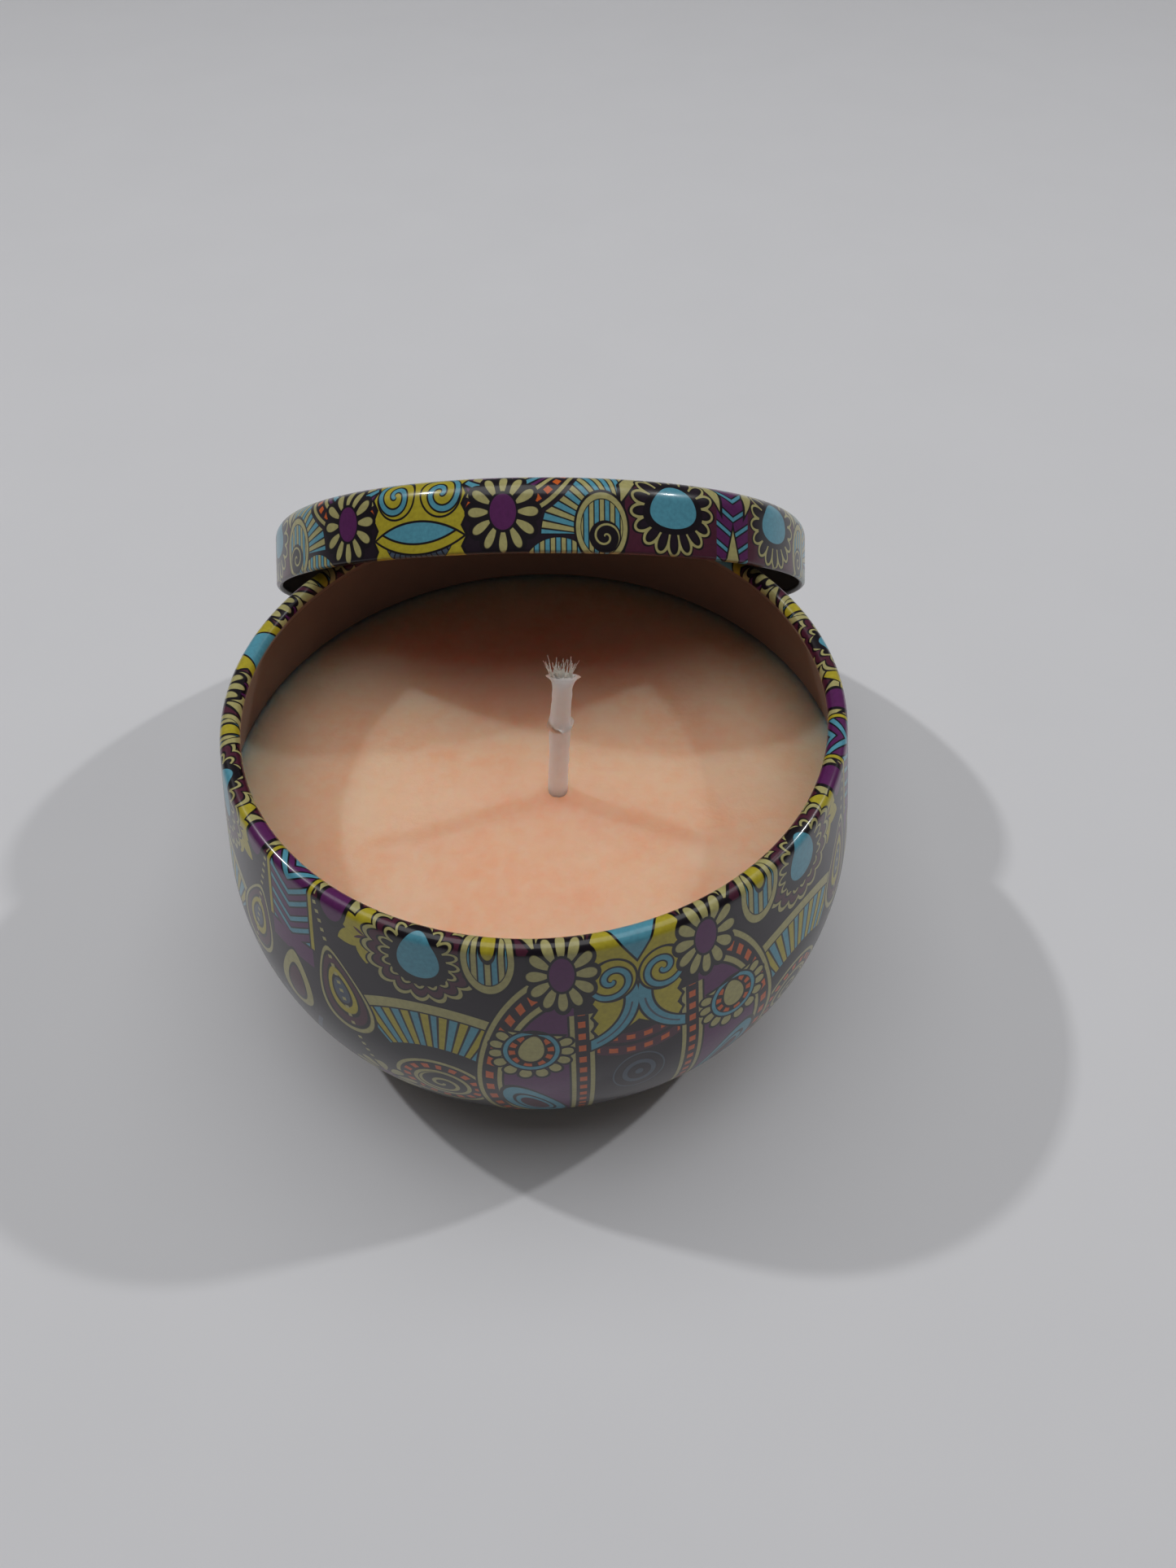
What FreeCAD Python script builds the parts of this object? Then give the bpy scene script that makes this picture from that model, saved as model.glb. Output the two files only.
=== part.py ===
"""Candle tin: a drawn tinplate bowl with a rolled rim, its slip lid leaning behind it, the wax and the wick.

Millimetres, +Z up. The origin is the middle of the base, on the surface that the tin stands on.
+Y points to the back, where the lid leans with its open side over the bowl.
"""

import FreeCAD, Part
import math
import os

import Sketcher

Vector = FreeCAD.Vector
HORIZONTAL_AXIS = -1
VERTICAL_AXIS = -2
ROOT_TWO_LESS_ONE = "(sqrt(2) - 1)"

DIMENSIONS = [
    ("sheet_thick", 0.28, "tinplate of the bowl"),
    ("body_height", 47.0, "top of the rolled rim above the table"),
    ("rim_radius", 38.5, "outside of the rolled rim"),
    ("curl_radius", 1.2, "outside radius of the roll itself"),
    ("curl_end_angle", 240.0, "where the rolled edge stops, round the roll from the wall side"),
    ("wall_arc", 420.0, "radius of the nearly straight upper wall"),
    ("belly_radius", 41.65, "widest radius of the bowl"),
    ("belly_height", 24.5, "height of the widest place"),
    ("belly_arc", 32.0, "radius of the bulging lower wall"),
    ("foot_arc", 4.0, "radius of the corner between wall and base"),
    ("bead_inner", 18.0, "inner radius of the stiffening bead pressed into the base"),
    ("bead_outer", 22.5, "outer radius of the same bead"),
    ("bead_depth", 0.7, "how far the bead is pressed up"),
    ("wax_level", 31.9, "top of the wax above the table"),
    ("lid_sheet", 0.25, "tinplate of the lid"),
    ("lid_radius", 40.8, "outside of the lid's skirt"),
    ("lid_skirt", 9.7, "height of the lid without its dome"),
    ("lid_corner", 2.8, "radius of the corner between skirt and top"),
    ("lid_dome", 2.0, "rise of the domed top"),
    ("hem_radius", 0.45, "outside radius of the hem rolled into the skirt's edge"),
    ("hem_end_angle", 110.0, "where the rolled hem stops"),
    ("lid_tilt", 46.4, "angle between the lid's axis and the vertical, leaning back"),
    ("lid_turn", 0.8, "turn of the leaning lid about the bowl's axis"),
    ("lid_reach", 39.6, "how far behind the bowl's axis the middle of the lid's open side is"),
    ("table_gap", 0.02, "space under the lowest point of the lid's hem"),
    ("wick_foot_x", 1.2, "place of the wick's foot on the floor of the bowl"),
    ("wick_foot_y", -3.9, "the same, front to back"),
    ("wick_lean", 2.5, "lean of the wick from the vertical"),
    ("wick_lean_way", -12.0, "compass direction of that lean, from +X towards +Y"),
    ("braid_radius", 0.8, "cotton braid of the wick"),
    ("braid_start", 0.9, "lower end of the braid, just inside the sustainer's foot"),
    ("braid_top", 54.6, "end of the braid, measured along the wick from the bowl's floor"),
    ("coat_radius", 1.3, "wax jacket round the braid, lower part"),
    ("coat_upper_radius", 1.25, "wax jacket above the break"),
    ("coat_start", 6.3, "lower end of the jacket, just above the sustainer's neck"),
    ("break_start", 44.6, "where the jacket is cracked and stands out as a collar"),
    ("break_end", 46.0, "upper end of that collar"),
    ("break_radius", 1.65, "the collar's radius"),
    ("break_slope", 0.3, "length over which the collar starts and ends"),
    ("lip_start", 51.7, "where the jacket starts to flare below its cut end"),
    ("lip_radius", 2.05, "the flared lip's radius"),
    ("lip_slope", 0.9, "length over which the lip flares"),
    ("coat_top", 53.0, "cut end of the jacket"),
    ("sticker_radius", 9.0, "double-sided foam sticker under the sustainer"),
    ("sticker_thick", 0.8, "its thickness"),
    ("tab_radius", 7.5, "round foot of the metal sustainer"),
    ("tab_thick", 0.3, "its sheet"),
    ("neck_radius", 1.35, "outside of the crimped neck that grips the braid"),
    ("neck_height", 5.0, "height of that neck above the sustainer's foot"),
    ("neck_slope", 0.6, "size of the slope between foot and neck"),
]
size = {name: value for name, value, meaning in DIMENSIONS}

doc = FreeCAD.newDocument("candle_tin")
sheet = doc.addObject("Spreadsheet::Sheet", "Dims")
for row, (alias, number, meaning) in enumerate(DIMENSIONS, start=1):
    sheet.set(f"A{row}", meaning)
    sheet.set(f"B{row}", str(number))
    sheet.setAlias(f"B{row}", alias)
doc.recompute()


def at(x, y):
    """A point of a sketch."""
    return Vector(x, y, 0)


def along(centre, radius, degrees):
    """The point of a circle at an angle, as (x, y)."""
    turn = math.radians(degrees)
    return centre[0] + radius * math.cos(turn), centre[1] + radius * math.sin(turn)


def halve(miss, low, high):
    """Where a function crosses zero between two values."""
    for step in range(80):
        middle = (low + high) / 2
        if miss(middle) * miss(low) > 0:
            low = middle
        else:
            high = middle
    return middle


class Outline:
    """A closed half section in a body's XZ plane, revolved about Z.

    Points are given roughly and then held by constraints whose values come from the sheet."""

    def __init__(self, label):
        self.body = doc.addObject("PartDesign::Body", label)
        self.body.Label = label
        self.sketch = self.body.newObject("Sketcher::SketchObject", label + "_section")
        plane = [f for f in self.body.Origin.OriginFeatures if f.Role == "XZ_Plane"][0]
        self.sketch.AttachmentSupport = [(plane, "")]
        self.sketch.MapMode = "FlatFace"
        self.count = 0

    def line(self, start, end):
        return self.sketch.addGeometry(Part.LineSegment(at(*start), at(*end)))

    def arc(self, centre, radius, first, last):
        circle = Part.Circle(at(*centre), Vector(0, 0, 1), radius)
        return self.sketch.addGeometry(Part.ArcOfCircle(circle, math.radians(first), math.radians(last)))

    def lines(self, points):
        """A chain of joined lines through the points."""
        made = [self.line(a, b) for a, b in zip(points, points[1:])]
        for a, b in zip(made, made[1:]):
            self.hold("Coincident", a, 2, b, 1)
        return made

    def hold(self, kind, *references):
        """A constraint without a size."""
        return self.sketch.addConstraint(Sketcher.Constraint(kind, *references))

    def fix(self, kind, references, value, expression):
        """A constraint whose size follows the sheet. value is its size now."""
        index = self.sketch.addConstraint(Sketcher.Constraint(kind, *references, value))
        name = f"size_{self.count}"
        self.count += 1
        self.sketch.renameConstraint(index, name)
        self.sketch.setExpression(f"Constraints.{name}", expression)

    def place(self, item, end, x=None, y=None):
        """Holds a point's distance from the origin; x and y are (value, expression)."""
        if x:
            self.fix("DistanceX", (-1, 1, item, end), *x)
        if y:
            self.fix("DistanceY", (-1, 1, item, end), *y)

    def close_on_axis(self, top_item, top_end, bottom_item, bottom_end, top, bottom):
        """The line along Z that closes the section."""
        axis = self.line((0, top), (0, bottom))
        self.hold("Coincident", top_item, top_end, axis, 1)
        self.hold("Coincident", axis, 2, bottom_item, bottom_end)

    def revolve(self):
        turn = self.body.newObject("PartDesign::Revolution", self.body.Label + "_turned")
        turn.Profile = self.sketch
        turn.ReferenceAxis = (self.sketch, ["V_Axis"])
        turn.Angle = 360.0
        self.sketch.Visibility = False
        doc.recompute()
        return self.body


# ---- where the bowl's tangent arcs meet ----

belly_centre = (size["belly_radius"] - size["belly_arc"], size["belly_height"])
curl_centre = (size["rim_radius"] - size["curl_radius"], size["body_height"] - size["curl_radius"])
foot_drop = size["belly_height"] - size["foot_arc"]
foot_run = math.sqrt((size["belly_arc"] - size["foot_arc"]) ** 2 - foot_drop**2)
foot_centre = (belly_centre[0] + foot_run, size["foot_arc"])
foot_angle = -math.degrees(math.atan2(foot_drop, foot_run))


def wall_centre_for(join_angle):
    """Centre of the upper wall's arc if it leaves the belly at this angle."""
    return along(belly_centre, size["belly_arc"] - size["wall_arc"], join_angle)


def curl_miss(join_angle):
    """How far that arc is from touching the rolled rim."""
    centre = wall_centre_for(join_angle)
    reach = math.hypot(curl_centre[0] - centre[0], curl_centre[1] - centre[1])
    return reach + size["curl_radius"] - size["wall_arc"]


join_angle = halve(curl_miss, 0.0, 30.0)
wall_centre = wall_centre_for(join_angle)
rim_angle = math.degrees(math.atan2(curl_centre[1] - wall_centre[1], curl_centre[0] - wall_centre[0]))


def wall_radius(height):
    """Outer radius of the upper wall at a height."""
    return wall_centre[0] + math.sqrt(size["wall_arc"] ** 2 - (height - wall_centre[1]) ** 2)


def bowl_floor(outline, lift):
    """The base's lines, from the middle outwards. lift is 0 under the sheet and 1 on its inside."""
    up = lift * size["sheet_thick"]
    shift = lift * (math.sqrt(2) - 1) * size["sheet_thick"]
    rise = f"{lift} * Dims.sheet_thick"
    slip = f"{lift} * {ROOT_TWO_LESS_ONE} * Dims.sheet_thick"
    inner, outer, depth = size["bead_inner"], size["bead_outer"], size["bead_depth"]
    corners = [
        (inner - shift, up),
        (inner + depth - shift, up + depth),
        (outer - depth + shift, up + depth),
        (outer + shift, up),
    ]
    made = outline.lines([(0, up), *corners, (foot_centre[0], up)])
    for flat in made[::2]:
        outline.hold("Horizontal", flat)
    widths = [
        f"Dims.bead_inner - {slip}",
        f"Dims.bead_inner + Dims.bead_depth - {slip}",
        f"Dims.bead_outer - Dims.bead_depth + {slip}",
        f"Dims.bead_outer + {slip}",
    ]
    for item, corner, width in zip(made, corners, widths):
        outline.place(item, 2, x=(corner[0], width))
    outline.place(made[1], 2, y=(up + depth, f"{rise} + Dims.bead_depth"))
    if lift:
        outline.place(made[0], 2, y=(up, rise))
        outline.hold("PointOnObject", made[0], 1, VERTICAL_AXIS)
    return made


def bowl_wall(outline, inset, last_angle):
    """Foot, belly and wall arcs, tangent to each other, inset from the outside by that many sheets."""
    less = inset * size["sheet_thick"]
    foot = outline.arc(foot_centre, size["foot_arc"] - less, -90, foot_angle)
    belly = outline.arc(belly_centre, size["belly_arc"] - less, foot_angle, join_angle)
    wall = outline.arc(wall_centre, size["wall_arc"] - less, join_angle, last_angle)
    outline.hold("Tangent", foot, 2, belly, 1)
    outline.hold("Tangent", belly, 2, wall, 1)
    outline.place(
        belly,
        3,
        x=(belly_centre[0], "Dims.belly_radius - Dims.belly_arc"),
        y=(belly_centre[1], "Dims.belly_height"),
    )
    arcs = ((foot, "foot_arc"), (belly, "belly_arc"), (wall, "wall_arc"))
    for item, name in arcs:
        outline.fix("Radius", (item,), size[name] - less, f"Dims.{name} - {inset} * Dims.sheet_thick")
    return foot, belly, wall


# ---- tin_body: one sheet, drawn into a bowl, its edge rolled inwards ----

bowl = Outline("tin_body")
under = bowl_floor(bowl, 0)
bowl.hold("Coincident", under[0], 1, -1, 1)
bowl.hold("PointOnObject", under[3], 2, HORIZONTAL_AXIS)
foot_out, belly_out, wall_out = bowl_wall(bowl, 0, rim_angle)
bowl.hold("Tangent", under[-1], 2, foot_out, 1)
curl_out = bowl.arc(curl_centre, size["curl_radius"], rim_angle, size["curl_end_angle"])
bowl.hold("Tangent", wall_out, 2, curl_out, 1)
bowl.fix("Radius", (curl_out,), size["curl_radius"], "Dims.curl_radius")
bowl.place(
    curl_out,
    3,
    x=(curl_centre[0], "Dims.rim_radius - Dims.curl_radius"),
    y=(curl_centre[1], "Dims.body_height - Dims.curl_radius"),
)
curl_less = size["curl_radius"] - size["sheet_thick"]
curl_in = bowl.arc(curl_centre, curl_less, rim_angle, size["curl_end_angle"])
bowl.hold("Coincident", curl_in, 3, curl_out, 3)
edge = bowl.line(
    along(curl_centre, size["curl_radius"], size["curl_end_angle"]),
    along(curl_centre, curl_less, size["curl_end_angle"]),
)
bowl.hold("Coincident", curl_out, 2, edge, 1)
bowl.hold("Coincident", edge, 2, curl_in, 2)
bowl.hold("PointOnObject", curl_out, 3, edge)
bowl.fix(
    "Angle",
    (edge,),
    math.radians(size["curl_end_angle"] - 180),
    "(Dims.curl_end_angle - 180) * 1 deg",
)
wall_in = bowl.arc(wall_centre, size["wall_arc"] - size["sheet_thick"], join_angle, rim_angle)
belly_in = bowl.arc(belly_centre, size["belly_arc"] - size["sheet_thick"], foot_angle, join_angle)
foot_in = bowl.arc(foot_centre, size["foot_arc"] - size["sheet_thick"], -90, foot_angle)
bowl.hold("Tangent", curl_in, 1, wall_in, 2)
bowl.hold("Tangent", wall_in, 1, belly_in, 2)
bowl.hold("Tangent", belly_in, 1, foot_in, 2)
for inner, outer in ((wall_in, wall_out), (belly_in, belly_out), (foot_in, foot_out)):
    bowl.hold("Coincident", inner, 3, outer, 3)
bowl.fix(
    "Radius",
    (belly_in,),
    size["belly_arc"] - size["sheet_thick"],
    "Dims.belly_arc - Dims.sheet_thick",
)
inside = bowl_floor(bowl, 1)
bowl.hold("Tangent", inside[-1], 2, foot_in, 1)
bowl.close_on_axis(inside[0], 1, under[0], 1, size["sheet_thick"], 0)
tin_body = bowl.revolve()


# ---- tin_lid: a drawn cap with a domed top and a hem rolled inwards, modelled flat on its open edge ----

dome_edge = size["lid_radius"] - size["lid_corner"]
corner_centre = (dome_edge, size["lid_skirt"] - size["lid_corner"])
dome_top = size["lid_skirt"] + size["lid_dome"]


def dome_miss(radius):
    """How far a dome of this radius is from touching the corner arc from outside in."""
    reach = math.hypot(corner_centre[0], corner_centre[1] - (dome_top - radius))
    return reach + size["lid_corner"] - radius


dome_radius = halve(dome_miss, 50.0, 5000.0)
dome_centre = (0.0, dome_top - dome_radius)
dome_angle = math.degrees(math.atan2(corner_centre[1] - dome_centre[1], corner_centre[0]))
hem_centre = (size["lid_radius"] - size["hem_radius"], size["hem_radius"])


def lid_side(outline, inset):
    """Dome, corner, skirt and hem of one side of the sheet, from the axis down to the hem's end."""
    less = inset * size["lid_sheet"]
    dome = outline.arc(dome_centre, dome_radius - less, dome_angle, 90)
    corner = outline.arc(corner_centre, size["lid_corner"] - less, 0, dome_angle)
    skirt = outline.line(
        (size["lid_radius"] - less, corner_centre[1]),
        (size["lid_radius"] - less, hem_centre[1]),
    )
    hem = outline.arc(hem_centre, size["hem_radius"] - less, size["hem_end_angle"], 360)
    outline.hold("Tangent", dome, 1, corner, 2)
    outline.hold("Tangent", corner, 1, skirt, 1)
    outline.hold("Tangent", skirt, 2, hem, 2)
    outline.hold("PointOnObject", dome, 2, VERTICAL_AXIS)
    return dome, corner, skirt, hem


lid = Outline("tin_lid")
dome_out, corner_out, skirt_out, hem_out = lid_side(lid, 0)
dome_in, corner_in, skirt_in, hem_in = lid_side(lid, 1)
lid.hold("PointOnObject", dome_out, 3, VERTICAL_AXIS)
lid.fix("Radius", (corner_out,), size["lid_corner"], "Dims.lid_corner")
lid.fix("Radius", (hem_out,), size["hem_radius"], "Dims.hem_radius")
lid.place(dome_out, 2, y=(dome_top, "Dims.lid_skirt + Dims.lid_dome"))
lid.place(
    corner_out,
    3,
    x=(corner_centre[0], "Dims.lid_radius - Dims.lid_corner"),
    y=(corner_centre[1], "Dims.lid_skirt - Dims.lid_corner"),
)
lid.place(
    hem_out,
    3,
    x=(hem_centre[0], "Dims.lid_radius - Dims.hem_radius"),
    y=(hem_centre[1], "Dims.hem_radius"),
)
for inner, outer in ((dome_in, dome_out), (corner_in, corner_out), (hem_in, hem_out)):
    lid.hold("Coincident", inner, 3, outer, 3)
for item, name in ((corner_in, "lid_corner"), (hem_in, "hem_radius")):
    lid.fix("Radius", (item,), size[name] - size["lid_sheet"], f"Dims.{name} - Dims.lid_sheet")
hem_edge = lid.line(
    along(hem_centre, size["hem_radius"], size["hem_end_angle"]),
    along(hem_centre, size["hem_radius"] - size["lid_sheet"], size["hem_end_angle"]),
)
lid.hold("Coincident", hem_out, 1, hem_edge, 1)
lid.hold("Coincident", hem_edge, 2, hem_in, 1)
lid.hold("PointOnObject", hem_out, 3, hem_edge)
lid.fix(
    "Angle",
    (hem_edge,),
    math.radians(size["hem_end_angle"] - 180),
    "(Dims.hem_end_angle - 180) * 1 deg",
)
lid.close_on_axis(dome_out, 2, dome_in, 2, dome_top, dome_top - size["lid_sheet"])
tin_lid = lid.revolve()
lid_height = (
    "Dims.table_gap + (Dims.lid_radius - Dims.hem_radius) * sin(Dims.lid_tilt * 1 deg)"
    " + Dims.hem_radius * (1 - cos(Dims.lid_tilt * 1 deg))"
)
tin_lid.setExpression(
    "Placement",
    "placement(vector(-Dims.lid_reach * sin(Dims.lid_turn * 1 deg);"
    f" Dims.lid_reach * cos(Dims.lid_turn * 1 deg); {lid_height});"
    " rotation(vector(0; 0; 1); Dims.lid_turn) * rotation(vector(1; 0; 0); -Dims.lid_tilt))",
)


# ---- wick: sticker, sustainer, braid and wax jacket ----

UPRIGHT = "rotation(vector(0; 0; 1); 0)"
LEANING = (
    "rotation(vector(-sin(Dims.wick_lean_way * 1 deg); cos(Dims.wick_lean_way * 1 deg); 0);"
    " Dims.wick_lean)"
)
FLOOR_POINT = "vector(Dims.wick_foot_x; Dims.wick_foot_y; Dims.sheet_thick)"
ON_FLOOR = f"placement({FLOOR_POINT}; {UPRIGHT})"
ALONG_WICK = f"placement({FLOOR_POINT}; {LEANING})"


def total(names):
    """The sum of some dimensions, as (value, expression)."""
    return sum(size[name] for name in names), " + ".join(f"Dims.{name}" for name in names)


def turned(label, corners, where):
    """A solid turned about Z. Each corner is (radius, height), both being tuples of dimensions to add."""
    outline = Outline(label)
    places = [(total(radius), total(height)) for radius, height in corners]
    points = [(x[0], y[0]) for x, y in places]
    low, high = points[0][1], points[-1][1]
    made = outline.lines([(0, low), *points, (0, high)])
    for flat, end in ((made[0], 1), (made[-1], 2)):
        outline.hold("Horizontal", flat)
        outline.hold("PointOnObject", flat, end, VERTICAL_AXIS)
    for item, (x, y) in zip(made, places):
        outline.place(item, 2, x=x, y=y)
    outline.close_on_axis(made[-1], 2, made[0], 1, high, low)
    solid = outline.revolve()
    solid.setExpression("Placement", where)
    return solid


def cylinder(label, radius, length, where):
    """A plain cylinder whose sizes and place are expressions."""
    solid = doc.addObject("Part::Cylinder", label)
    solid.Label = label
    solid.setExpression("Radius", radius)
    solid.setExpression("Height", length)
    solid.setExpression("Placement", where)
    return solid


def cut(label, base, tool):
    """base with tool taken out."""
    made = doc.addObject("Part::Cut", label)
    made.Label = label
    made.Base = base
    made.Tool = tool
    return made


wick_sticker = cylinder("wick_sticker", "Dims.sticker_radius", "Dims.sticker_thick", ON_FLOOR)
wick_braid = cylinder(
    "wick_braid",
    "Dims.braid_radius",
    "Dims.braid_top - Dims.braid_start",
    f"{ALONG_WICK} * placement(vector(0; 0; Dims.braid_start); {UPRIGHT})",
)

pressed_tab = turned(
    "pressed_tab",
    [
        (("tab_radius",), ("sticker_thick",)),
        (("tab_radius",), ("sticker_thick", "tab_thick")),
        (("neck_radius", "neck_slope"), ("sticker_thick", "tab_thick")),
        (("neck_radius",), ("sticker_thick", "tab_thick", "neck_slope")),
        (("neck_radius",), ("sticker_thick", "neck_height")),
    ],
    ON_FLOOR,
)
wick_sustainer = cut("wick_sustainer", pressed_tab, wick_braid)

dipped_jacket = turned(
    "dipped_jacket",
    [
        (("coat_radius",), ("coat_start",)),
        (("coat_radius",), ("break_start",)),
        (("break_radius",), ("break_start", "break_slope")),
        (("break_radius",), ("break_end",)),
        (("coat_upper_radius",), ("break_end", "break_slope")),
        (("coat_upper_radius",), ("lip_start",)),
        (("lip_radius",), ("lip_start", "lip_slope")),
        (("lip_radius",), ("coat_top",)),
    ],
    ALONG_WICK,
)
wick_wax_coat = cut("wick_wax_coat", dipped_jacket, wick_braid)


# ---- wax_fill: poured wax, shaped by the inside of the bowl and set round the wick ----

wax = Outline("poured_wax")
inner_wall_arc = size["wall_arc"] - size["sheet_thick"]
wax_angle = math.degrees(math.asin((size["wax_level"] - wall_centre[1]) / inner_wall_arc))
wax_under = bowl_floor(wax, 1)
foot_wax, belly_wax, wall_wax = bowl_wall(wax, 1, wax_angle)
wax.hold("Tangent", wax_under[-1], 2, foot_wax, 1)
rim_guide = wax.sketch.addGeometry(
    Part.Circle(at(*curl_centre), Vector(0, 0, 1), size["curl_radius"] - size["sheet_thick"]), True
)
wax.hold("Tangent", wall_wax, rim_guide)
wax.fix(
    "Radius",
    (rim_guide,),
    size["curl_radius"] - size["sheet_thick"],
    "Dims.curl_radius - Dims.sheet_thick",
)
wax.place(
    rim_guide,
    3,
    x=(curl_centre[0], "Dims.rim_radius - Dims.curl_radius"),
    y=(curl_centre[1], "Dims.body_height - Dims.curl_radius"),
)
surface = wax.line((wall_radius(size["wax_level"]), size["wax_level"]), (0, size["wax_level"]))
wax.hold("Coincident", wall_wax, 2, surface, 1)
wax.hold("Horizontal", surface)
wax.place(surface, 2, y=(size["wax_level"], "Dims.wax_level"))
wax.hold("PointOnObject", surface, 2, VERTICAL_AXIS)
wax.close_on_axis(surface, 2, wax_under[0], 1, size["wax_level"], size["sheet_thick"])
poured_wax = wax.revolve()

wick_space = doc.addObject("Part::MultiFuse", "wick_space")
wick_space.Shapes = [wick_sticker, pressed_tab, dipped_jacket, wick_braid]
wax_fill = cut("wax_fill", poured_wax, wick_space)
doc.recompute()


# ---- checks, then one file for each piece ----

pieces = [tin_body, tin_lid, wax_fill, wick_braid, wick_wax_coat, wick_sustainer, wick_sticker]
bad = [o.Label for o in doc.Objects if "Invalid" in o.State or "Error" in o.State]
if bad:
    raise SystemExit(f"these objects failed: {bad}")
os.makedirs("parts", exist_ok=True)
for piece in pieces:
    shape = piece.Shape
    if shape.isNull() or not shape.isValid() or len(shape.Solids) != 1:
        raise SystemExit(f"{piece.Label} is not one valid solid")
    shape.exportStep(f"parts/{piece.Label}.step")
    low_z, high_z = shape.optimalBoundingBox().ZMin, shape.optimalBoundingBox().ZMax
    print(f"{piece.Label}: {shape.Volume:.0f} mm3, z {low_z:.2f} to {high_z:.2f}")
lid_clearance = tin_lid.Shape.distToShape(tin_body.Shape)[0]
print(f"lid clear of bowl by {lid_clearance:.2f}")
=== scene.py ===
"""Looks of the candle tin: printed bowl, leaning lid, peach wax and a waxed wick.

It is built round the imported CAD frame. Sizes below are millimetres; every mesh is made in metres,
in the CAD's own frame.
"""
import math
import random

import bpy
from mathutils import Matrix, Vector, noise


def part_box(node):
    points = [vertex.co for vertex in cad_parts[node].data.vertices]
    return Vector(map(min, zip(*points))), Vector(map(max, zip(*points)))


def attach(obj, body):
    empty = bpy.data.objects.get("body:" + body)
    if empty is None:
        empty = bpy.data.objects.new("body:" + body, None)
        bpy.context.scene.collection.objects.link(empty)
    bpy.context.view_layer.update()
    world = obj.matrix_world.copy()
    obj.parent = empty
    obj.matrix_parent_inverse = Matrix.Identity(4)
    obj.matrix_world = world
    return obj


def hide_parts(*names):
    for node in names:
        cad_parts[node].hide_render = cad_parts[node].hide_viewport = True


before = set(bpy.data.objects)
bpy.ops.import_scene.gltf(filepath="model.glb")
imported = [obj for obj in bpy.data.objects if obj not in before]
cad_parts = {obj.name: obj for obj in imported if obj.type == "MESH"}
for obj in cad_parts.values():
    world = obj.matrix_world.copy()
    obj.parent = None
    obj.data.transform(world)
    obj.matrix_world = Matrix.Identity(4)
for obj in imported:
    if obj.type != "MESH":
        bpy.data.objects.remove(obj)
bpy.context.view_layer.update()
MM = 0.001
TURN = 2 * math.pi
UP = Vector((0, 0, 1))
rng = random.Random(7)

# ================================================================ sizes, as in the CAD

SHEET = 0.28
BODY_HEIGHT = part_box("tin_body")[1].z / MM
RIM_RADIUS = 38.5
CURL_RADIUS = 1.2
CURL_END = 240.0
BELLY_RADIUS = 41.65
BELLY_HEIGHT = 24.5
BELLY_ARC = 32.0
WALL_ARC = 420.0
FOOT_ARC = 4.0
BEAD_INNER = 18.0
BEAD_OUTER = 22.5
BEAD_DEPTH = 0.7
WAX_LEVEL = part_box("wax_fill")[1].z / MM
WAX_GAP = 0.02

LID_SHEET = 0.25
LID_RADIUS = 40.8
LID_SKIRT = 9.7
LID_CORNER = 2.8
LID_DOME = 2.0
HEM_RADIUS = 0.45
HEM_START = 110.0
LID_TILT = math.radians(46.4)
LID_YAW = math.radians(0.8)
LID_REACH = 39.6
TABLE_GAP = 0.02

WICK_FOOT = Vector((1.2, -3.9, SHEET))
WICK_LEAN = math.radians(2.5)
WICK_LEAN_WAY = math.radians(-12.0)
BRAID_FROM = 0.9
COAT_FROM = 6.3
COAT_BREAK = 45.2
COAT_TO = 53.0
# The strands end a little lower than the CAD's braid, and loose fibres carry on from there.
BRAID_TO = 53.2
STUBS = 60
WISPS = 40
# The jacket is folded over itself at its break, from above it to below it.
FOLD_ABOVE = 0.15
FOLD_BELOW = 0.6
JACKET_SIDES = 48

# The print's width round the tin, and that of the mirrored half repeat it is made of.
PRINT_ROUND = 251.4
HALF_REPEAT = PRINT_ROUND / 6
BOWL_PRINT_TURN = 17.5
LID_PRINT_TURN = -20.8
SEGMENTS = 360

# ================================================================ camera and light

CAMERA_AT = Vector((6.54, -99.9, 144.63)) * MM
CAMERA_DOWN = math.radians(49.22)
FOCAL_LENGTH = 25.78
SENSOR = 36.0


def make_camera():
    data = bpy.data.cameras.new("camera")
    data.sensor_width = SENSOR
    data.lens = FOCAL_LENGTH
    data.clip_start = 0.01
    camera = bpy.data.objects.new("camera", data)
    camera.location = CAMERA_AT
    camera.rotation_euler = (math.pi / 2 - CAMERA_DOWN, 0, 0)
    bpy.context.scene.collection.objects.link(camera)
    bpy.context.scene.camera = camera


def make_lamp(name, way, distance, wide, deep, watts):
    """A rectangular light in a direction from the tin, turned to face it."""
    data = bpy.data.lights.new(name, "AREA")
    data.shape = "RECTANGLE"
    data.size = wide
    data.size_y = deep
    data.energy = watts
    lamp = bpy.data.objects.new(name, data)
    lamp.location = Vector(way).normalized() * distance
    lamp.rotation_euler = Vector(way).to_track_quat("Z", "Y").to_euler()
    bpy.context.scene.collection.objects.link(lamp)


def make_world(strength):
    world = bpy.data.worlds.new("studio")
    world.use_nodes = True
    back = world.node_tree.nodes["Background"]
    back.inputs["Color"].default_value = (0.97, 0.98, 1.0, 1)
    back.inputs["Strength"].default_value = strength
    bpy.context.scene.world = world


make_camera()
make_lamp("lamp_left", (-0.75, 0.32, 1.0), 1.5, 0.045, 0.045, 4.8)
make_lamp("lamp_right", (0.95, 0.34, 1.0), 1.5, 0.045, 0.045, 4.2)
make_lamp("softbox_above", (0.0, 0.08, 1.0), 0.8, 0.8, 0.64, 2.6)
make_world(0.08)
bpy.context.scene.view_settings.view_transform = "Standard"

# ================================================================ colour and shading nodes


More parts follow.
